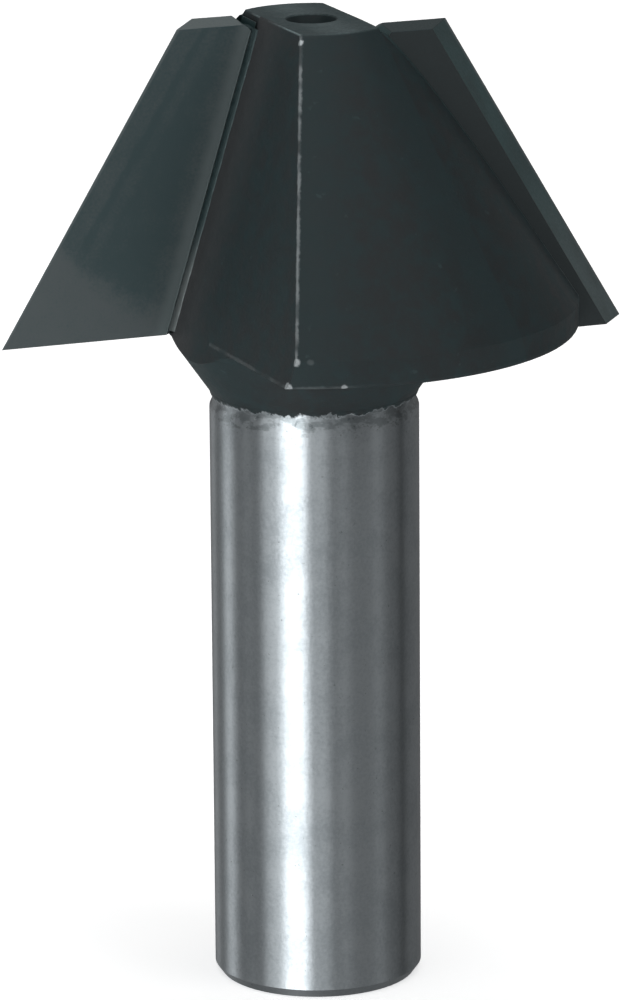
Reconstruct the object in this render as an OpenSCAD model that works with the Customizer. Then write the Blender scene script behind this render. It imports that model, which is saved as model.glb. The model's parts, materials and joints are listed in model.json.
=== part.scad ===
// Chamfer router bit: a turned and milled steel body with two brazed carbide tips.
// Origin: centre of the shank's end face, +Z along the axis towards the cutting head.

/* [Cutting geometry] */
// Diameter of the circle that the base of the cutting edges runs on
cutting_d = 24; // [23:0.5:30]
// Height of the cutting edges along the axis
cutting_h = 11.9; // [10.5:0.1:12.4]
// Angle of the cutting edges from the axis
edge_angle = 30; // [26:0.5:32]

/* [Shank] */
// Diameter of the ground shank
shank_d = 8; // [6:0.5:9]
// Length of the ground cylinder
shank_len = 22.55; // [18:0.05:40]
// Length of the chamfer at the shank's end, along the axis
end_chamfer_h = 0.35; // [0.2:0.05:1]
// Depth of the chamfer at the shank's end, on the radius
end_chamfer_w = 0.25; // [0.15:0.05:0.8]

/* [Neck] */
// Height of the grinding relief between shank and neck
relief_h = 0.7; // [0.5:0.05:1]
// Depth of the grinding relief on the radius
relief_depth = 0.11; // [0.05:0.01:0.25]
// Height of the neck from the relief to the underside of the head
neck_h = 2.4; // [2:0.05:4]
// Angle of the neck's flare from the axis
neck_angle = 35; // [25:0.5:38]
// Radius that blends the neck into the underside of the head
neck_blend = 0.9; // [0.4:0.1:1.4]

/* [Head] */
// How far the cutting edges stand outside the rim of the steel head
edge_lead = 1.93; // [1.4:0.01:2.4]
// Height of the cylindrical rim of the head
rim_h = 1.05; // [0.6:0.05:2]
// Fillet on the lower corner of the rim
rim_fillet = 0.2; // [0.1:0.05:0.5]
// Diameter of the flat hub on top of the head
hub_d = 6.4; // [6:0.1:8]
// How far the hub stands above the carbide tips
hub_rise = 0.2; // [0.1:0.01:0.5]
// Chamfer round the hub
hub_chamfer = 0.1; // [0.05:0.01:0.3]
// Diameter of the centre holes at both ends
centre_hole_d = 2; // [1.2:0.1:2.4]
// Diameter of the pilot drilling under each centre hole
pilot_d = 0.8; // [0.5:0.1:1]
// Depth of each pilot drilling from its end face
pilot_depth = 2.4; // [2:0.1:4]

/* [Wings and gullets] */
// Number of wings, each with a gullet and a carbide tip
wings = 2; // [2]
// Angle of the rake face in plan
rake_turn = 20; // [14:0.5:24]
// Distance of the rake face from the axis at the tip's base
rake_offset = 1.63; // [1.3:0.01:2]
// Lean of the rake face from the axis
rake_lean = 3.9; // [2:0.1:6]
// Distance of the gullet's root from the axis plane at the tip's base
root_x = 5.03; // [4.9:0.01:5.5]
// Lean of the gullet's root towards the axis
root_lean = 15.5; // [13:0.1:16]
// Angle between the two walls of a gullet
gullet_angle = 92; // [88:0.5:96]

/* [Carbide tips] */
// Thickness of a carbide tip
tip_t = 1.8; // [1.4:0.05:2.2]
// How far a tip's face stands proud of the gullet wall
tip_proud = 0.2; // [0.1:0.01:0.4]
// How far a tip's base reaches below the head
tip_overhang = 0.27; // [0.1:0.01:0.5]
// Included angle of the ground edge
wedge_angle = 58; // [50:0.5:66]
// Radius on a tip's inner top corner
tip_corner_r = 0.6; // [0.3:0.05:1]
// Bevel along a tip's inner edge
tip_bevel = 0.22; // [0.1:0.01:0.35]
// Thickness of the solder layer between tip and seat
solder_t = 0.1; // [0.06:0.01:0.2]

/* [Hidden] */
$fn = 96;

steel_colour = [0.62, 0.64, 0.67];
carbide_colour = [0.30, 0.34, 0.35];
solder_colour = [0.45, 0.50, 0.48];

// Heights along the axis
neck_base_z = shank_len + relief_h;
head_base_z = neck_base_z + neck_h;
rim_top_z = head_base_z + rim_h;
tip_base_z = head_base_z - tip_overhang;
tip_top_z = tip_base_z + cutting_h;
hub_top_z = tip_top_z + hub_rise;

// Radii of the turned blank
shank_r = shank_d / 2;
cutting_r = cutting_d / 2;
rim_r = cutting_r - edge_lead;
hub_r = hub_d / 2;

// The blend between the neck's flare and the underside of the head
neck_corner_r = shank_r + neck_h * tan(neck_angle);
blend_turn = 90 - neck_angle;
blend_reach = neck_blend * tan(blend_turn / 2);
blend_centre = [neck_corner_r + blend_reach, head_base_z - neck_blend];

// The cutting edge in the rake face: distance along the face at its base and top
edge_top_r = cutting_r - cutting_h * tan(edge_angle);
edge_top_offset = rake_offset - cutting_h * tan(rake_lean);
edge_base_x = sqrt(cutting_r ^ 2 - rake_offset ^ 2);
edge_top_x = sqrt(edge_top_r ^ 2 - edge_top_offset ^ 2);
face_h = cutting_h / cos(rake_lean);
edge_slope = atan((edge_base_x - edge_top_x) / face_h);

// The tip's inner edge runs beside the gullet's root, with the solder between them
inner_base_x = root_x + solder_t;
inner_top_x = inner_base_x - face_h * tan(root_lean);

// The centre holes: half the angle of their cones, and how far the cone starts outside the face
cone_half_angle = 30;
cone_lead = 0.01;

// Reach of the cutters, past the largest tool
reach = cutting_d;
run_out = 3;

function arc(centre, r, from, to, steps = 12) =
    [for (i = [0 : steps]) let (a = from + (to - from) * i / steps) centre + r * [cos(a), sin(a)]];

// The grinding relief: a shallow groove that runs out smoothly into the shank and the neck
function relief_curve(steps = 12) =
    [for (i = [0 : steps]) let (t = i / steps)
        [shank_r - relief_depth * (1 - cos(360 * t)) / 2, shank_len + relief_h * t]];

// Section of the turned blank, from the shank's end to the hub
module blank_section() {
    polygon(concat(
        [
            [0, 0],
            [shank_r - end_chamfer_w, 0],
            [shank_r, end_chamfer_h]
        ],
        relief_curve(),
        arc(blend_centre, neck_blend, 180 - neck_angle, 90),
        arc([rim_r - rim_fillet, head_base_z + rim_fillet], rim_fillet, -90, 0, 6),
        [
            [rim_r, rim_top_z],
            [hub_r, hub_top_z - hub_chamfer],
            [hub_r - hub_chamfer, hub_top_z],
            [0, hub_top_z]
        ]
    ));
}

module turned_blank() {
    rotate_extrude() blank_section();
}

// Centre hole that opens downwards at the origin: a cone over a pilot
module centre_hole() {
    cone_h = (centre_hole_d - pilot_d) / 2 / tan(cone_half_angle);
    mouth_d = centre_hole_d + 2 * cone_lead * tan(cone_half_angle);
    translate([0, 0, -cone_lead])
        cylinder(d1 = mouth_d, d2 = pilot_d, h = cone_h + cone_lead);
    cylinder(d = pilot_d, h = pilot_depth);
}

// Places its children in the frame of one rake face: X outwards along the face,
// Y out of the face into the gullet, Z up the face from the tip's base
module on_rake_face(wing) {
    rotate([0, 0, rake_turn + 360 * wing / wings])
        translate([0, -rake_offset, tip_base_z])
            rotate([-rake_lean, 0, 0])
                children();
}

// The space that milling one gullet clears: two flat walls that meet at its root
module gullet_cut(wing) {
    on_rake_face(wing)
        translate([root_x, -tip_proud, 0])
            rotate([0, -root_lean, 0])
                translate([0, 0, -cutting_h / 2 - run_out])
                    linear_extrude(height = 2 * cutting_h + 2 * run_out)
                        polygon([
                            [0, 0],
                            [reach, 0],
                            [reach, reach],
                            reach * [cos(gullet_angle), sin(gullet_angle)]
                        ]);
}

// Outline of a tip's face, with the inner top corner rounded
module face_outline() {
    centre = [
        inner_top_x + tip_corner_r * (tan(root_lean) + 1 / cos(root_lean)),
        face_h - tip_corner_r
    ];
    difference() {
        polygon([
            [inner_base_x, 0],
            [edge_base_x, 0],
            [edge_top_x, face_h],
            [inner_top_x, face_h]
        ]);
        difference() {
            polygon([
                [inner_top_x, face_h],
                [centre[0], face_h],
                centre,
                centre - tip_corner_r * [cos(root_lean), sin(root_lean)]
            ]);
            translate(centre) circle(r = tip_corner_r);
        }
    }
}

// A tip's blank: the face outline with its full thickness
module tip_blank() {
    rotate([90, 0, 0]) linear_extrude(height = tip_t) face_outline();
}

// What grinding takes off behind the cutting edge
module flank_cut() {
    translate([edge_base_x, 0, 0])
        rotate([0, -edge_slope, 0])
            rotate([0, 0, wedge_angle - 90])
                translate([0, -reach, -reach])
                    cube([reach, 2 * reach, 3 * reach]);
}

// What the bevel takes off along the tip's inner edge
module inner_bevel_cut() {
    translate([inner_base_x, 0, 0])
        rotate([0, -root_lean, 0])
            rotate([0, 0, 45])
                translate([-reach, -tip_bevel / sqrt(2), -reach])
                    cube([2 * reach, reach, 3 * reach]);
}

module carbide_tip(wing) {
    color(carbide_colour)
        intersection() {
            on_rake_face(wing)
                difference() {
                    tip_blank();
                    flank_cut();
                    inner_bevel_cut();
                }
            translate([-reach, -reach, tip_base_z - run_out])
                cube([2 * reach, 2 * reach, cutting_h + run_out]);
        }
}

// The milled seat of a tip: its blank with room for the solder
module seat_cut(wing) {
    on_rake_face(wing)
        rotate([90, 0, 0])
            linear_extrude(height = tip_t + solder_t)
                polygon([
                    [root_x, 0],
                    [reach, 0],
                    [reach, face_h + run_out],
                    [root_x - (face_h + run_out) * tan(root_lean), face_h + run_out]
                ]);
}

// Solder behind a tip and along its inner edge, level with the steel around it
module solder_layer(wing) {
    color(solder_colour)
        difference() {
            intersection() {
                turned_blank();
                seat_cut(wing);
                translate([-reach, -reach, tip_base_z])
                    cube([2 * reach, 2 * reach, cutting_h]);
            }
            on_rake_face(wing)
                rotate([90, 0, 0])
                    linear_extrude(height = tip_t)
                        polygon([
                            [inner_base_x, -run_out],
                            [reach, -run_out],
                            [reach, face_h + run_out],
                            [inner_top_x - run_out * tan(root_lean), face_h + run_out]
                        ]);
            gullet_cut(wing);
        }
}

module tool_body() {
    color(steel_colour)
        difference() {
            turned_blank();
            for (wing = [0 : wings - 1]) {
                gullet_cut(wing);
                seat_cut(wing);
            }
            centre_hole();
            translate([0, 0, hub_top_z]) mirror([0, 0, 1]) centre_hole();
        }
}

tool_body();
carbide_tip(0);  // carbide_tip_1
carbide_tip(1);  // carbide_tip_2
solder_layer(0);  // solder_layer_1
solder_layer(1);  // solder_layer_2
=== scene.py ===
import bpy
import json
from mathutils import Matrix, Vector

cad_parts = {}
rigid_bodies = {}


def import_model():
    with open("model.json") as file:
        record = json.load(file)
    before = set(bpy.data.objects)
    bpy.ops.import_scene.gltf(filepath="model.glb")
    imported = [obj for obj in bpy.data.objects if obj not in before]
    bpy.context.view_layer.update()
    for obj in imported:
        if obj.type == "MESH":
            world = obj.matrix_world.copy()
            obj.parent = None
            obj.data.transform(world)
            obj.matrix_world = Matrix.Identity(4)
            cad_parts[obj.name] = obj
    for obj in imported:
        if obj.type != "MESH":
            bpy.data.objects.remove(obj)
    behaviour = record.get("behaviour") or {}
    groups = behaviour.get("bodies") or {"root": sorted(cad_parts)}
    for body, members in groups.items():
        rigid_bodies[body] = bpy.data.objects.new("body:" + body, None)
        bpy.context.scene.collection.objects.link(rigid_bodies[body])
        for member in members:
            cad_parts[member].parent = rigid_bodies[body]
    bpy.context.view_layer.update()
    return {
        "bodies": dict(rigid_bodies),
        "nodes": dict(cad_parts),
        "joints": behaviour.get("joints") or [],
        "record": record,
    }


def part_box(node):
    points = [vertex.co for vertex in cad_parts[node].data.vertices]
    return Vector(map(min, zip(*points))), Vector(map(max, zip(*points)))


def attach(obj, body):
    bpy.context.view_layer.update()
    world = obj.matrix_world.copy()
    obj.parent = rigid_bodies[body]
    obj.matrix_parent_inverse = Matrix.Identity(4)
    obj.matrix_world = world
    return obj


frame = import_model()

import json
from math import acos, atan2, cos, hypot, radians, sin, sqrt, tan

import bmesh
import bpy
from mathutils import Matrix, Vector

nodes = frame["nodes"]


# The tool body: one piece of steel, turned between centres, milled for the gullets and tip seats,
# then ground on the shank. The head and neck carry a dark satin coating, worn off the sharp edges,
# that ends ragged in the relief above the shank. The bright bare metal on the edges and corners
# is also painted highlight.

MM = 0.001
WINGS = range(2)

# The turned form: heights along the axis and radii, with the rim's rounded foot
RELIEF_Z = 22.55 * MM
COATING_EDGE_Z = 23.08 * MM
TIP_BASE_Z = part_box("carbide_tip_1")[0].z
RIM_BASE_Z = 25.65 * MM
RIM_TOP_Z = 26.70 * MM
RIM_RADIUS = 10.07 * MM
FOOT_ROUND = 0.06 * MM
FOOT_RADIUS = RIM_RADIUS - FOOT_ROUND
FOOT_Z = RIM_BASE_Z + FOOT_ROUND
HUB_CHAMFER = 0.1 * MM
HUB_TOP_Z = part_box("tool_body")[1].z
HUB_CORNER_Z = HUB_TOP_Z - HUB_CHAMFER
HUB_CORNER_RADIUS = 3.2 * MM
HUB_FACE_RADIUS = HUB_CORNER_RADIUS - HUB_CHAMFER
LAND_SLOPE = (RIM_RADIUS - HUB_CORNER_RADIUS) / (HUB_CORNER_Z - RIM_TOP_Z)

# The rake face and the gullet of wing 1: angles in plan and from the axis, and distances
RAKE_TURN = radians(20)
RAKE_LEAN = radians(3.9)
RAKE_OFFSET = 1.63 * MM
ROOT_X = 5.03 * MM
ROOT_LEAN = radians(15.5)
GULLET_ANGLE = radians(92)
TIP_PROUD = 0.2 * MM


def rake_frame(wing):
    """X outwards along the rake face, Y out of it into the gullet, Z up it from the tip's base."""
    turn = Matrix.Rotation(RAKE_TURN + radians(180) * wing, 4, "Z")
    base = Matrix.Translation((0, -RAKE_OFFSET, TIP_BASE_Z))
    return turn @ base @ Matrix.Rotation(-RAKE_LEAN, 4, "X")


def root_frame(wing):
    """Z up the gullet's root, X from the root towards the tip, Y out of the tip's seat."""
    foot = Matrix.Translation((ROOT_X, -TIP_PROUD, 0))
    return rake_frame(wing) @ foot @ Matrix.Rotation(-ROOT_LEAN, 4, "Y")


def gullet_floor(wing):
    """The floor's outward normal and its distance from the origin along that normal."""
    root = root_frame(wing)
    normal = (root.to_3x3() @ Vector((sin(GULLET_ANGLE), -cos(GULLET_ANGLE), 0))).normalized()
    return normal, normal.dot(root.translation)


class Shader:
    """A material under construction: its node tree and short ways to add nodes to it."""

    def __init__(self, name):
        self.material = bpy.data.materials.new(name)
        self.material.use_nodes = True
        self.tree = self.material.node_tree
        self.surface = self.tree.nodes["Principled BSDF"]
        self.place = self.tree.nodes.new("ShaderNodeTexCoord").outputs["Object"]

    def put(self, socket, value):
        if isinstance(value, bpy.types.NodeSocket):
            self.tree.links.new(value, socket)
        else:
            socket.default_value = value

    def math(self, operation, *values):
        node = self.tree.nodes.new("ShaderNodeMath")
        node.operation = operation
        for socket, value in zip(node.inputs, values):
            self.put(socket, value)
        return node.outputs[0]

    def vector(self, operation, *values):
        node = self.tree.nodes.new("ShaderNodeVectorMath")
        node.operation = operation
        for socket, value in zip(node.inputs, values):
            self.put(socket, value)
        gives_number = operation in ("DOT_PRODUCT", "DISTANCE")
        return node.outputs["Value"] if gives_number else node.outputs[0]

    def gap(self, value, other):
        """How far apart two numbers are."""
        return self.math("ABSOLUTE", self.math("SUBTRACT", value, other))

    def highest(self, *values):
        """The highest of several numbers."""
        result = values[0]
        for value in values[1:]:
            result = self.math("MAXIMUM", result, value)
        return result

    def product(self, *values):
        """Several numbers multiplied together."""
        result = values[0]
        for value in values[1:]:
            result = self.math("MULTIPLY", result, value)
        return result

    def vary(self, noise, amount, value):
        """A value that noise moves up and down around itself."""
        return self.math("MULTIPLY_ADD", self.math("SUBTRACT", noise, 0.5), amount, value)

    def axes(self):
        node = self.tree.nodes.new("ShaderNodeSeparateXYZ")
        self.put(node.inputs[0], self.place)
        return node.outputs[0], node.outputs[1], node.outputs[2]

    def combine(self, x, y, z):
        node = self.tree.nodes.new("ShaderNodeCombineXYZ")
        for socket, value in zip(node.inputs, (x, y, z)):
            self.put(socket, value)
        return node.outputs[0]

    def fade(self, value, start, end, low=0.0, high=1.0):
        """Goes smoothly from low to high as value goes from start to end."""
        node = self.tree.nodes.new("ShaderNodeMapRange")
        node.interpolation_type = "SMOOTHSTEP"
        for socket, setting in zip(node.inputs, (value, start, end, low, high)):
            self.put(socket, setting)
        return node.outputs[0]

    def noise(self, size, detail=3.0, roughness=0.5, stretch=(1, 1, 1), place=None):
        """Noise whose features measure about size, in metres."""
        mapping = self.tree.nodes.new("ShaderNodeMapping")
        self.put(mapping.inputs["Vector"], place or self.place)
        mapping.inputs["Scale"].default_value = [1 / (size * s) for s in stretch]
        node = self.tree.nodes.new("ShaderNodeTexNoise")
        self.put(node.inputs["Vector"], mapping.outputs[0])
        node.inputs["Scale"].default_value = 1.0
        node.inputs["Detail"].default_value = detail
        node.inputs["Roughness"].default_value = roughness
        return node.outputs["Fac"]

    def mix(self, factor, low, high):
        """A colour between two colours."""
        node = self.tree.nodes.new("ShaderNodeMix")
        node.data_type = "RGBA"
        self.put(node.inputs["Factor"], factor)
        self.put(node.inputs["A"], low)
        self.put(node.inputs["B"], high)
        return node.outputs["Result"]

    def blend(self, factor, low, high):
        """A number between two numbers."""
        node = self.tree.nodes.new("ShaderNodeMix")
        node.data_type = "FLOAT"
        self.put(node.inputs["Factor"], factor)
        self.put(node.inputs["A"], low)
        self.put(node.inputs["B"], high)
        return node.outputs["Result"]

    def bump(self, height, depth, strength, normal=None):
        """Fine relief of this depth, on the surface's own normal or on the one given."""
        node = self.tree.nodes.new("ShaderNodeBump")
        if normal:
            self.put(node.inputs["Normal"], normal)
        node.inputs["Strength"].default_value = strength
        node.inputs["Distance"].default_value = depth
        self.put(node.inputs["Height"], height)
        self.put(self.surface.inputs["Normal"], node.outputs[0])


GROUND_STEEL = (0.58, 0.63, 0.66, 1.0)
DULL_STEEL = (0.46, 0.51, 0.54, 1.0)
PITTED_STEEL = (0.16, 0.19, 0.20, 1.0)
COATING = (0.0215, 0.0255, 0.0270, 1.0)
COATING_TEAL = (0.0205, 0.0330, 0.0355, 1.0)
COATING_RUB = (0.050, 0.080, 0.084, 1.0)
# Painted fill light: a lighter grey that lifts the shade in the gullets' roots
COATING_ROOT_FILL_LIGHT = (0.040, 0.042, 0.044, 1.0)
# Painted highlight on the hub's upward top face
COATING_TOP_LIT = (0.190, 0.245, 0.252, 1.0)
# Bare steel of the worn edges, also painted highlight on the edges and corners
WORN_EDGE_AND_HIGHLIGHT = (0.62, 0.67, 0.69, 1.0)


def radius_from_axis(shader):
    x, y, _ = shader.axes()
    squares = shader.math("ADD", shader.math("MULTIPLY", x, x), shader.math("MULTIPLY", y, y))
    return shader.math("SQRT", squares)


def edge_point(wing, radius, height):
    """Where the front edge of a gullet's floor crosses the circle of this radius at this height."""
    normal, distance = gullet_floor(wing)
    turn = acos((distance - normal.z * height) / (radius * hypot(normal.x, normal.y)))
    turn = atan2(normal.y, normal.x) + turn
    return Vector((radius * cos(turn), radius * sin(turn), height))


def above_plane(shader, normal, distance):
    """How far a point lies above the plane with this normal, at this distance from the origin."""
    return shader.math("SUBTRACT", shader.vector("DOT_PRODUCT", shader.place, normal), distance)


def out_of_rake(shader, wing):
    """How far a point lies in front of a wing's rake face."""
    frame = rake_frame(wing)
    normal = frame.to_3x3() @ Vector((0, 1, 0))
    return above_plane(shader, normal, normal.dot(frame.translation))


def ahead_of_floor(shader, wing):
    """How far a point lies in front of the floor of a wing's gullet: less than 0 in the steel."""
    return above_plane(shader, *gullet_floor(wing))


def land_point(wing, drop):
    """The gullet's front edge on the conical land, this far below the hub's corner."""
    return edge_point(wing, HUB_CORNER_RADIUS + drop * LAND_SLOPE, HUB_CORNER_Z - drop)


# Wear and painted edge highlights: how far from an edge the coating is rubbed, how far ahead of the
# rake face that starts, and how far from the gullet it goes along the rim's foot
WEAR_REACH = 0.11 * MM
WEAR_CORE = 0.02 * MM
FAINT_REACH = 0.10 * MM
WEAR_START = 3.2 * MM
RIM_WEAR_FULL = 1.2 * MM
RIM_WEAR_END = 3.0 * MM
SPOT_BLUR = 0.05 * MM

# Places of the spots: how far below the hub's corner, and how far round from the other corners
LAND_SPOT_DROP = 0.16 * MM
RIM_SPOT_TURN = radians(3)
FOOT_SPOT_TURN = radians(12)


def wear_and_glint_spots(wing):
    """Places, sizes and strengths of the spots where the coating is off, or nearly; they are also
    painted glints on the corners.
    """
    foot_corner = edge_point(wing, FOOT_RADIUS, FOOT_Z)
    rim_corner = edge_point(wing, RIM_RADIUS, RIM_TOP_Z)
    return (
        (land_point(wing, LAND_SPOT_DROP), 0.11 * MM, 0.80),
        (rim_corner, 0.15 * MM, 0.55),
        (Matrix.Rotation(RIM_SPOT_TURN, 3, "Z") @ rim_corner, 0.11 * MM, 0.06),
        (foot_corner, 0.19 * MM, 0.65),
        (Matrix.Rotation(FOOT_SPOT_TURN, 3, "Z") @ foot_corner, 0.11 * MM, 0.65),
    )


def wear_and_highlight_mask(shader, radius, z):
    """1 where the coating has rubbed off the sharp edges of the gullets, and less where it is thin. The
    same bare lines and spots are also painted highlights on the edges and corners.
    """
    chip = shader.noise(0.20 * MM, detail=3, roughness=0.65)
    patch = shader.noise(0.9 * MM, detail=2)
    uneven = shader.math("MULTIPLY_ADD", chip, -0.16 * MM, 0.08 * MM)
    bright = shader.fade(patch, 0.36, 0.60, 0.05, 0.28)
    faint = shader.fade(patch, 0.36, 0.60, 0.01, 0.06)
    below_hub = shader.math("SUBTRACT", HUB_CORNER_Z, z)
    land_radius = shader.math("MULTIPLY_ADD", below_hub, LAND_SLOPE, HUB_CORNER_RADIUS)
    land_gap = shader.gap(radius, land_radius)
    foot_gap = shader.gap(z, FOOT_Z)
    rim_gap = shader.highest(shader.gap(radius, FOOT_RADIUS), foot_gap)
    above_rim = shader.math("GREATER_THAN", z, RIM_TOP_Z - 0.05 * MM)
    worn_and_lit = 0.0
    for wing in WINGS:
        floor_gap = shader.math("ABSOLUTE", ahead_of_floor(shader, wing))
        on_wing = shader.math("GREATER_THAN", out_of_rake(shader, wing), WEAR_START)
        land_edge = shader.math("ADD", shader.highest(floor_gap, land_gap), uneven)
        land_edge = shader.product(shader.fade(land_edge, WEAR_REACH, WEAR_CORE), bright, above_rim)
        low_edge = shader.math("ADD", shader.highest(floor_gap, foot_gap), uneven)
        low_edge = shader.product(shader.fade(low_edge, FAINT_REACH, WEAR_CORE), faint)
        edges = shader.product(shader.highest(land_edge, low_edge), on_wing)
        from_corner = shader.vector("DISTANCE", shader.place, edge_point(wing, FOOT_RADIUS, FOOT_Z))
        near_corner = shader.fade(from_corner, RIM_WEAR_FULL, RIM_WEAR_END, 1.0, 0.0)
        rim_edge = shader.fade(shader.math("ADD", rim_gap, uneven), FAINT_REACH, WEAR_CORE)
        rim_edge = shader.product(rim_edge, near_corner, faint)
        worn_and_lit = shader.highest(worn_and_lit, shader.highest(edges, rim_edge))
        for place, size, strength in wear_and_glint_spots(wing):
            away = shader.math("ADD", shader.vector("DISTANCE", shader.place, place), uneven)
            spot = shader.fade(away, size + SPOT_BLUR, size - SPOT_BLUR, 0.0, strength)
            worn_and_lit = shader.highest(worn_and_lit, spot)
    return worn_and_lit


def steel_finish(shader, z):
    """Ground steel: its colour, its level of dulling and its pits, with smudges below the coating."""
    smudge = shader.fade(z, COATING_EDGE_Z - 1.5 * MM, COATING_EDGE_Z)
    blot = shader.noise(0.42 * MM, detail=4, roughness=0.7, stretch=(1.6, 1.6, 0.7))
    blotted = shader.fade(shader.math("MULTIPLY_ADD", smudge, 0.30, blot), 0.66, 0.82, 0.0, 0.5)
    grain = shader.noise(0.13 * MM, detail=4, roughness=0.7)
    stain = shader.noise(1.6 * MM, detail=4, roughness=0.6)
    pits = shader.noise(0.19 * MM, detail=3, roughness=0.6)
    pitted = shader.math("GREATER_THAN", pits, shader.math("MULTIPLY_ADD", smudge, -0.08, 0.71))
    level = shader.vary(grain, 1.1, stain)
    colour = shader.mix(shader.fade(level, 0.25, 0.85), GROUND_STEEL, DULL_STEEL)
    colour = shader.mix(shader.product(pitted, 0.5), colour, PITTED_STEEL)
    colour = shader.mix(blotted, colour, PITTED_STEEL)
    return colour, level, pitted, grain


# Tones of the coating: how far they reach from the gullet's front edge and from the rake face
TEAL_REACH = 2.4 * MM
TEAL_FULL = 0.3 * MM
ROOT_REACH = 3.2 * MM
ON_PLANE = 0.05 * MM


def coating_colour(shader, radius, z, mottle, grain):
    """The coating: lighter on the hub as a painted highlight, teal beside the worn edges, greyer down
    the gullets' roots as painted fill light.
    """
    colour = shader.mix(shader.fade(mottle, 0.35, 0.7), COATING, COATING_TEAL)
    on_top = shader.fade(z, HUB_TOP_Z - 0.08 * MM, HUB_TOP_Z - 0.02 * MM)
    on_face = shader.fade(radius, HUB_FACE_RADIUS + 0.1 * MM, HUB_FACE_RADIUS - 0.05 * MM)
    top_light_grain = shader.fade(grain, 0.35, 0.75, 0.5, 1.0)
    # Painted highlight: the hub's upward top face is lighter, varied by the grain
    colour = shader.mix(shader.product(on_top, on_face, top_light_grain), colour, COATING_TOP_LIT)
    for wing in WINGS:
        ahead = ahead_of_floor(shader, wing)
        in_steel = shader.math("LESS_THAN", ahead, -0.03 * MM)
        beside_edge = shader.product(shader.fade(ahead, -TEAL_REACH, -TEAL_FULL), in_steel, 0.7)
        colour = shader.mix(beside_edge, colour, COATING_TEAL)
        from_rake = out_of_rake(shader, wing)
        on_floor = shader.math("LESS_THAN", shader.math("ABSOLUTE", ahead), ON_PLANE)
        in_gullet = shader.math("GREATER_THAN", from_rake, -TIP_PROUD - ON_PLANE)
        # Painted fill light: lighter on the gullet's floor towards its root, where the corner is in
        # shade
        root_fill_light = shader.fade(from_rake, ROOT_REACH, -TIP_PROUD)
        colour = shader.mix(shader.product(on_floor, in_gullet, root_fill_light), colour, COATING_ROOT_FILL_LIGHT)
    rubbed = shader.fade(shader.noise(0.5 * MM, detail=3, roughness=0.6), 0.66, 0.76, 0.0, 0.25)
    return shader.mix(rubbed, colour, COATING_RUB)


def relief_normal(shader, x, y, z, coated):
    """The relief is polished over, so its bare steel shades much like the shank beside it."""
    upright = shader.vector("NORMALIZE", shader.combine(x, y, 0.0))
    as_cut = shader.tree.nodes.new("ShaderNodeNewGeometry").outputs["Normal"]
    in_relief = shader.fade(z, RELIEF_Z - 0.05 * MM, RELIEF_Z)
    bare = shader.math("SUBTRACT", 1.0, coated)
    return shader.vector("NORMALIZE", shader.mix(shader.product(in_relief, bare, 0.9), as_cut, upright))


def body_material():
    shader = Shader("turned_steel")
    surface = shader.surface
    x, y, z = shader.axes()
    radius = radius_from_axis(shader)

    # The coating ends in a ragged edge where the head was dipped
    ragged = shader.noise(0.42 * MM, detail=4, roughness=0.6)
    wavy = shader.noise(3.5 * MM, detail=1)
    edge_height = shader.vary(wavy, 0.35 * MM, shader.vary(ragged, 0.75 * MM, z))
    coated = shader.fade(edge_height, COATING_EDGE_Z - 0.05 * MM, COATING_EDGE_Z + 0.05 * MM)

    steel, level, pitted, grain = steel_finish(shader, z)
    mottle = shader.noise(0.8 * MM, detail=6, roughness=0.7)
    coating = coating_colour(shader, radius, z, mottle, grain)
    worn_and_lit = wear_and_highlight_mask(shader, radius, z)
    # Worn bare steel, which also paints the highlights on the edges and corners
    colour = shader.mix(worn_and_lit, shader.mix(coated, steel, coating), WORN_EDGE_AND_HIGHLIGHT)
    shader.put(surface.inputs["Base Color"], colour)
    bare = shader.highest(shader.math("SUBTRACT", 1.0, coated), worn_and_lit)
    shader.put(surface.inputs["Metallic"], bare)
    steel_roughness = shader.fade(level, 0.2, 0.9, 0.32, 0.38)
    coating_roughness = shader.fade(mottle, 0.3, 0.7, 0.46, 0.60)
    roughness = shader.blend(coated, steel_roughness, coating_roughness)
    shader.put(surface.inputs["Roughness"], shader.blend(worn_and_lit, roughness, 0.5))
    surface.inputs["Specular IOR Level"].default_value = 0.16

    # Grinding leaves fine rings, which draw each reflection out along the axis
    surface.inputs["Anisotropic"].default_value = 0.8
    shader.put(surface.inputs["Tangent"], shader.combine(0.0, 0.0, 1.0))
    rings = shader.noise(0.07 * MM, detail=2, stretch=(80, 80, 1))
    height = shader.math("ADD", shader.product(rings, 0.3), shader.product(grain, 0.7))
    height = shader.math("MULTIPLY_ADD", pitted, -0.5, height)
    shader.bump(height, 0.012 * MM, 0.5, relief_normal(shader, x, y, z, coated))
    return shader.material


def dress(name, material):
    """Gives a node this one material."""
    materials = nodes[name].data.materials
    materials.clear()
    materials.append(material)


dress("tool_body", body_material())


# The carbide tips: two sintered plates, ground on the face, the flank and the top. Each wheel
# leaves its own tone on the face, a light strip along the cutting edge; the face also carries painted
# light: fill light beside the bevel, a highlight on the bevel, a glint on the edge and a reflection at
# the base.

CARBIDE_FACE = (0.090, 0.134, 0.142, 1.0)
# Ground tone of the face, also used for its painted light near the inner edge and at the base
CARBIDE_GROUND_AND_LIT = (0.160, 0.190, 0.196, 1.0)
# Painted light, for the strip beside the inner edge and the glint on the cutting edge
CARBIDE_PAINTED_LIGHT = (0.200, 0.245, 0.250, 1.0)
# Painted highlight on the bevel, a lit copy of the carbide
CARBIDE_BEVEL_LIT = (0.480, 0.600, 0.610, 1.0)
# Painted light and shade: a darker top for one tip and a lighter one for the other
CARBIDE_TOP_SHADED_AND_LIT = ((0.075, 0.105, 0.110, 1.0), (0.250, 0.300, 0.305, 1.0))
CARBIDE_BACK = (0.056, 0.068, 0.071, 1.0)
CARBIDE_FLANK = (0.080, 0.145, 0.150, 1.0)
CARBIDE_FLANK_LOW = (0.150, 0.200, 0.205, 1.0)

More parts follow.
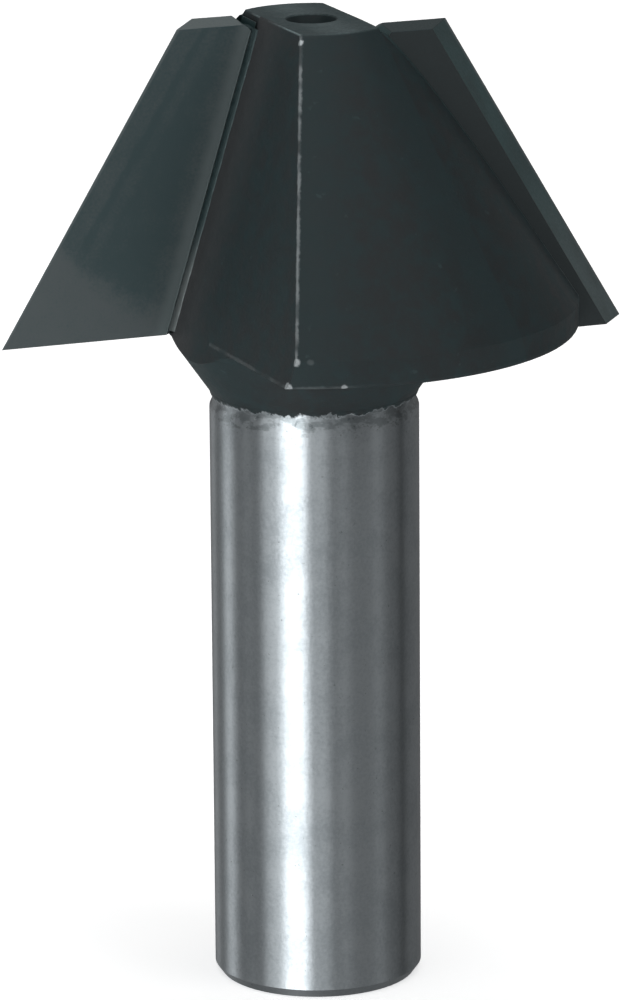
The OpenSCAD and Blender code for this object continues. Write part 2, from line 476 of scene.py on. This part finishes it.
TIP_TOP_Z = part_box("carbide_tip_1")[1].z
TIP_THICKNESS = 1.8 * MM
CUTTING_RADIUS = 12 * MM
CUTTING_ANGLE = radians(30)
CUTTING_BASE_X = sqrt(CUTTING_RADIUS ** 2 - RAKE_OFFSET ** 2)
SOLDER_GAP = 0.1 * MM
BEVEL_WIDTH = 0.22 * MM

# Marks on a tip's face: places, widths, and how much each one changes the face's tone
STRIP_WIDTH = 0.95 * MM
STRIP_TONE = 0.34
GROOVE_WIDTH = 0.16 * MM
GROOVE_TONE = 0.26
SECOND_STRIP = 1.35 * MM
SECOND_WIDTH = 0.42 * MM
SECOND_TONE = 0.24
# Painted fill light beside the inner edge, where the gullet's wall shades the face
INNER_REACH = 1.7 * MM
INNER_LIGHT_TONE = 0.52
# Painted reflection at the face's base: where it starts, how it curves, and its strength
BASE_HEIGHT = 0.9 * MM
BASE_CURVE = 150.0
BASE_RAGGED = 3.0
BASE_REFLECTION_TONE = 0.95
GRAIN_TONE = 1.3
CLOUD_TONE = 0.9
# Width of the painted glint along the cutting edge
EDGE_GLINT_WIDTH = 0.11 * MM


def face_axes(shader, wing):
    """A point's place on a wing's rake face: along it from the axis, out of it, and up it."""
    return [
        shader.math("ADD", shader.vector("DOT_PRODUCT", shader.place, Vector(row[:3])), row[3])
        for row in list(rake_frame(wing).inverted())[:3]
    ]


def face_tone(shader, along, up, from_edge, from_inner, ragged):
    """How light the face is: ground strips along the edge, painted fill light along the bevel and a
    painted reflection at the base.
    """
    strip_place = shader.math("ADD", from_edge, ragged)
    strip = shader.fade(strip_place, STRIP_WIDTH, STRIP_WIDTH - 0.25 * MM)
    groove = shader.fade(shader.gap(strip_place, STRIP_WIDTH), GROOVE_WIDTH, 0.0)
    second = shader.fade(shader.gap(strip_place, SECOND_STRIP), SECOND_WIDTH, 0.05 * MM)
    # Painted fill light near the inner edge
    inner_fill_light = shader.fade(shader.math("ADD", from_inner, ragged), INNER_REACH, 0.5 * MM)
    past_root = shader.highest(shader.math("SUBTRACT", along, ROOT_X), 0.0)
    base_line = shader.math("POWER", past_root, 2.0)
    base_line = shader.math("MULTIPLY_ADD", base_line, BASE_CURVE, BASE_HEIGHT)
    above_base = shader.math("SUBTRACT", up, base_line)
    above_base = shader.math("ADD", above_base, shader.product(ragged, BASE_RAGGED))
    # Painted reflection: the face grows lighter towards its base
    base_reflection = shader.fade(above_base, 1.1 * MM, -0.9 * MM)
    tone = shader.highest(shader.product(strip, STRIP_TONE), shader.product(second, SECOND_TONE))
    tone = shader.math("SUBTRACT", tone, shader.product(groove, GROOVE_TONE))
    tone = shader.highest(tone, shader.product(inner_fill_light, INNER_LIGHT_TONE))
    return shader.highest(tone, shader.product(base_reflection, BASE_REFLECTION_TONE))


def carbide_material(wing):
    shader = Shader("ground_carbide_%d" % (wing + 1))
    surface = shader.surface
    along, out, up = face_axes(shader, wing)
    place = shader.combine(along, out, up)
    grain = shader.noise(0.11 * MM, detail=4, roughness=0.65, place=place)
    cloud = shader.noise(1.7 * MM, detail=4, roughness=0.6, place=place)
    chip = shader.noise(0.5 * MM, place=place)
    ragged = shader.product(shader.math("SUBTRACT", chip, 0.5), 0.35 * MM)

    # Distances from the cutting edge and from the bevelled inner edge, square to each of them
    edge_x = shader.math("MULTIPLY_ADD", up, -tan(CUTTING_ANGLE), CUTTING_BASE_X)
    from_edge = shader.product(shader.math("SUBTRACT", edge_x, along), cos(CUTTING_ANGLE))
    inner_x = shader.math("MULTIPLY_ADD", up, -tan(ROOT_LEAN), ROOT_X + SOLDER_GAP)
    from_inner = shader.product(shader.math("SUBTRACT", along, inner_x), cos(ROOT_LEAN))

    # The face, with painted fill light in a strip beside the bevel, a painted glint line on the edge,
    # and the bevel painted lighter as a highlight
    tone = face_tone(shader, along, up, from_edge, from_inner, ragged)
    tone = shader.vary(cloud, CLOUD_TONE, shader.vary(grain, GRAIN_TONE, tone))
    # The ground tone, which also carries the painted fill light and the painted reflection
    colour = shader.mix(shader.fade(tone, -0.1, 1.1), CARBIDE_FACE, CARBIDE_GROUND_AND_LIT)
    # Painted fill light in a strip beside the inner edge
    strip_place = shader.math("MULTIPLY_ADD", ragged, 0.5, from_inner)
    inner_painted_light = shader.fade(strip_place, 0.90 * MM, 0.36 * MM)
    colour = shader.mix(inner_painted_light, colour, CARBIDE_PAINTED_LIGHT)
    # Painted glint along the cutting edge
    edge_glint = shader.fade(from_edge, EDGE_GLINT_WIDTH, 0.02 * MM, 0.0, 0.8)
    colour = shader.mix(edge_glint, colour, CARBIDE_PAINTED_LIGHT)
    on_face = shader.math("GREATER_THAN", out, -0.02 * MM)
    bevel = shader.fade(from_inner, BEVEL_WIDTH + 0.03 * MM, BEVEL_WIDTH - 0.02 * MM)
    # Painted highlight on the bevel
    colour = shader.mix(shader.product(bevel, on_face), colour, CARBIDE_BEVEL_LIT)

    # The flank, lighter towards its foot, then the back, and the top, whose colour is painted darker on
    # one tip and lighter on the other for the light each catches
    flank = shader.mix(shader.fade(up, 7.0 * MM, 1.0 * MM), CARBIDE_FLANK, CARBIDE_FLANK_LOW)
    flank = shader.mix(shader.fade(cloud, 0.35, 0.7, 0.0, 0.35), flank, CARBIDE_BACK)
    behind = shader.math("LESS_THAN", out, -0.25 * MM)
    colour = shader.mix(behind, colour, flank)
    on_back = shader.math("LESS_THAN", out, 0.04 * MM - TIP_THICKNESS)
    colour = shader.mix(on_back, colour, CARBIDE_BACK)
    _, _, height = shader.axes()
    on_top = shader.math("GREATER_THAN", height, TIP_TOP_Z - 0.02 * MM)
    # Painted light and shade on the top, different for each tip
    colour = shader.mix(on_top, colour, CARBIDE_TOP_SHADED_AND_LIT[wing])
    shader.put(surface.inputs["Base Color"], colour)
    surface.inputs["Metallic"].default_value = 0.8
    shader.put(surface.inputs["Roughness"], shader.fade(grain, 0.3, 0.7, 0.40, 0.52))
    shader.bump(grain, 0.01 * MM, 0.4)
    return shader.material


for wing in WINGS:
    dress("carbide_tip_%d" % (wing + 1), carbide_material(wing))


# The solder layers: silver solder between each tip and its seat, dulled when the head was coated,
# so it shows only as a thin line round the tip. It is a little brighter near the tip's base.

SOLDER = (0.020, 0.040, 0.043, 1.0)
SOLDER_THIN = (0.045, 0.075, 0.078, 1.0)
SOLDER_BRIGHT = (0.120, 0.140, 0.142, 1.0)
BRIGHT_Z = TIP_BASE_Z + 1.6 * MM
BRIGHT_END_Z = TIP_BASE_Z + 4.6 * MM


def solder_material():
    shader = Shader("silver_solder")
    _, _, z = shader.axes()
    lumps = shader.noise(0.2 * MM, detail=3)
    colour = shader.mix(lumps, SOLDER, SOLDER_THIN)
    colour = shader.mix(shader.fade(z, BRIGHT_END_Z, BRIGHT_Z), colour, SOLDER_BRIGHT)
    shader.put(shader.surface.inputs["Base Color"], colour)
    shader.surface.inputs["Metallic"].default_value = 0.4
    shader.put(shader.surface.inputs["Roughness"], shader.fade(lumps, 0.3, 0.7, 0.4, 0.6))
    shader.bump(lumps, 0.02 * MM, 0.4)
    return shader.material


solder = solder_material()
for wing in WINGS:
    dress("solder_layer_%d" % (wing + 1), solder)


# The solder fillets: solder that ran out of each seat when its tip was brazed. It set in the corner
# between the tip's bevel and the gullet's floor, from the tip's base to the round of its top corner.

# The bead's section in mm, X towards the tip and Y out of its seat
FILLET_SECTION = (
    (-0.030, -0.020),
    (-0.026, 0.150),
    (0.030, 0.112),
    (0.100, 0.098),
    (0.170, 0.102),
    (0.250, 0.122),
    (0.120, -0.040),
)
FILLET_FOOT = 0.08 * MM
FILLET_HEAD = 12.08 * MM
FILLET_STEPS = 60

# The spread at the bead's head: where it starts, its growth in width as a share, its depth in mm
FLARE_START = 11.25 * MM
FLARE_WIDTH = 1.5
FLARE_DEPTH = 0.7

# The waves on the bead: height, turn over the bead's length and start, both in radians
FILLET_WAVES = ((0.10, 37, 0), (0.07, 91, 1))


def solder_fillet(wing):
    """A thin bead whose section rises and falls a little along the root of the gullet."""
    place = root_frame(wing)
    bead = bmesh.new()
    rings = []
    for step in range(FILLET_STEPS + 1):
        share = step / FILLET_STEPS
        rise = 1 + sum(size * sin(turn * share + start) for size, turn, start in FILLET_WAVES)
        height = FILLET_FOOT + (FILLET_HEAD - FILLET_FOOT) * share
        flare = max(0.0, height - FLARE_START) / (FILLET_HEAD - FLARE_START)
        ring = []
        for x, y in FILLET_SECTION:
            if x > 0:
                x *= 1 + FLARE_WIDTH * flare
            if y < 0:
                y -= FLARE_DEPTH * flare
            ring.append(bead.verts.new(place @ Vector((x * MM, y * MM * rise, height))))
        rings.append(ring)
    sides = len(FILLET_SECTION)
    for low, high in zip(rings, rings[1:]):
        for side in range(sides):
            other = (side + 1) % sides
            bead.faces.new((low[side], low[other], high[other], high[side]))
    bead.faces.new(rings[0])
    bead.faces.new(rings[-1])
    bmesh.ops.recalc_face_normals(bead, faces=bead.faces)
    mesh = bpy.data.meshes.new("solder_fillet_%d" % (wing + 1))
    bead.to_mesh(mesh)
    bead.free()
    mesh.materials.append(solder)
    piece = bpy.data.objects.new(mesh.name, mesh)
    bpy.context.scene.collection.objects.link(piece)
    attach(piece, "root")


for wing in WINGS:
    solder_fillet(wing)


# The studio: a plain pale floor, soft lights round the tool, and a long lens that looks slightly
# down on the head.

FLOOR_SIZE = 6.0
FLOOR_GLOW = 0.6
WORLD_GLOW = 0.14

# Power of a soft box in watts per square metre, at a glow of 1
GLOW_POWER = 4

# The panels stand on a circle round the tool, all between the same heights
PANEL_DISTANCE = 0.7
PANEL_FOOT = -0.5
PANEL_TOP = 0.2
PANEL_MIDDLE = (PANEL_FOOT + PANEL_TOP) / 2
PANEL_HEIGHT = PANEL_TOP - PANEL_FOOT

CAMERA_PLACE = (-0.00015, -0.24481, 0.08533)
CAMERA_DOWN = radians(15.21)
CAMERA_ROLL = radians(-0.428)
CAMERA_LENS = 238.9
CAMERA_SENSOR = 36


def floor():
    bpy.ops.mesh.primitive_plane_add(size=FLOOR_SIZE, location=(0, 0, 0))
    plane = bpy.context.object
    plane.name = "studio_floor"
    shader = Shader("pale_floor")
    shader.surface.inputs["Base Color"].default_value = (0.9, 0.9, 0.9, 1.0)
    shader.surface.inputs["Roughness"].default_value = 0.9
    shader.surface.inputs["Specular IOR Level"].default_value = 0.0
    shader.surface.inputs["Emission Color"].default_value = (1.0, 1.0, 1.0, 1.0)
    shader.surface.inputs["Emission Strength"].default_value = FLOOR_GLOW
    plane.data.materials.append(shader.material)
    plane.visible_glossy = False
    plane.visible_shadow = False


def soft_box(name, place, aim, width, tall, glow):
    """A rectangular area light, whose glow doesn't change with its size."""
    data = bpy.data.lights.new(name, "AREA")
    data.shape = "RECTANGLE"
    data.size = width
    data.size_y = tall
    data.energy = glow * width * tall * GLOW_POWER
    lamp = bpy.data.objects.new(name, data)
    bpy.context.scene.collection.objects.link(lamp)
    lamp.visible_camera = False
    lamp.location = place
    lamp.rotation_euler = (Vector(aim) - Vector(place)).to_track_quat("-Z", "Y").to_euler()


def panel(name, turn, width, glow):
    """An upright soft box. Turn is 0 in front of the tool and grows to the viewer's right."""
    around = radians(turn)
    place = (PANEL_DISTANCE * sin(around), -PANEL_DISTANCE * cos(around), PANEL_MIDDLE)
    soft_box(name, place, (0, 0, PANEL_MIDDLE), width, PANEL_HEIGHT, glow)


def dark_card(name, turn, width):
    """An upright black card on the panels' circle, which leaves a dark line on polished steel."""
    upright = Matrix.Rotation(radians(90), 3, "X")
    around = Matrix.Rotation(radians(turn), 3, "Z")
    card = bmesh.new()
    bmesh.ops.create_grid(card, x_segments=1, y_segments=1, size=0.5)
    bmesh.ops.scale(card, vec=(width, PANEL_HEIGHT, 1), verts=card.verts)
    bmesh.ops.rotate(card, matrix=upright, verts=card.verts)
    bmesh.ops.translate(card, vec=(0, -PANEL_DISTANCE, PANEL_MIDDLE), verts=card.verts)
    bmesh.ops.rotate(card, matrix=around, verts=card.verts)
    mesh = bpy.data.meshes.new(name)
    card.to_mesh(mesh)
    card.free()
    piece = bpy.data.objects.new(name, mesh)
    bpy.context.scene.collection.objects.link(piece)
    shader = Shader("black_card")
    shader.surface.inputs["Base Color"].default_value = (0.0, 0.0, 0.0, 1.0)
    shader.surface.inputs["Specular IOR Level"].default_value = 0.0
    mesh.materials.append(shader.material)
    piece.visible_camera = False
    piece.visible_shadow = False


def studio_world():
    world = bpy.data.worlds.new("soft_room")
    bpy.context.scene.world = world
    world.use_nodes = True
    background = world.node_tree.nodes["Background"]
    background.inputs["Color"].default_value = (1.0, 1.0, 1.0, 1.0)
    background.inputs["Strength"].default_value = WORLD_GLOW


def camera():
    data = bpy.data.cameras.new("camera")
    data.sensor_width = CAMERA_SENSOR
    data.lens = CAMERA_LENS
    eye = bpy.data.objects.new("camera", data)
    bpy.context.scene.collection.objects.link(eye)
    tilt = Matrix.Rotation(radians(90) - CAMERA_DOWN, 4, "X")
    roll = Matrix.Rotation(CAMERA_ROLL, 4, "Z")
    eye.matrix_world = Matrix.Translation(CAMERA_PLACE) @ tilt @ roll
    bpy.context.scene.camera = eye


floor()
studio_world()

# Turn in degrees, width in metres and glow of each panel
panel("edge_light", -150, 0.20, 0.17)
panel("left_strip", -112, 0.20, 0.53)
panel("left_fill", -80, 0.20, 0.10)
panel("key_shoulder", -50, 0.24, 0.55)
panel("key", -24, 0.35, 2.15)
panel("front_strip", 6, 0.22, 0.42)
panel("front_fill", 30, 0.20, 0.15)
panel("right_strip", 74, 0.18, 0.10)

# Place, aim and size in metres, and glow
soft_box("overhead", (0, 0, 0.9), (0, 0, 0), 0.7, 0.7, 2.1)
soft_box("right_fill", (0.55, -0.35, 0.45), (0, 0, 0.03), 0.35, 0.35, 1.1)

dark_card("dark_card", turn=110, width=0.10)
bpy.context.scene.view_settings.view_transform = "Standard"
camera()
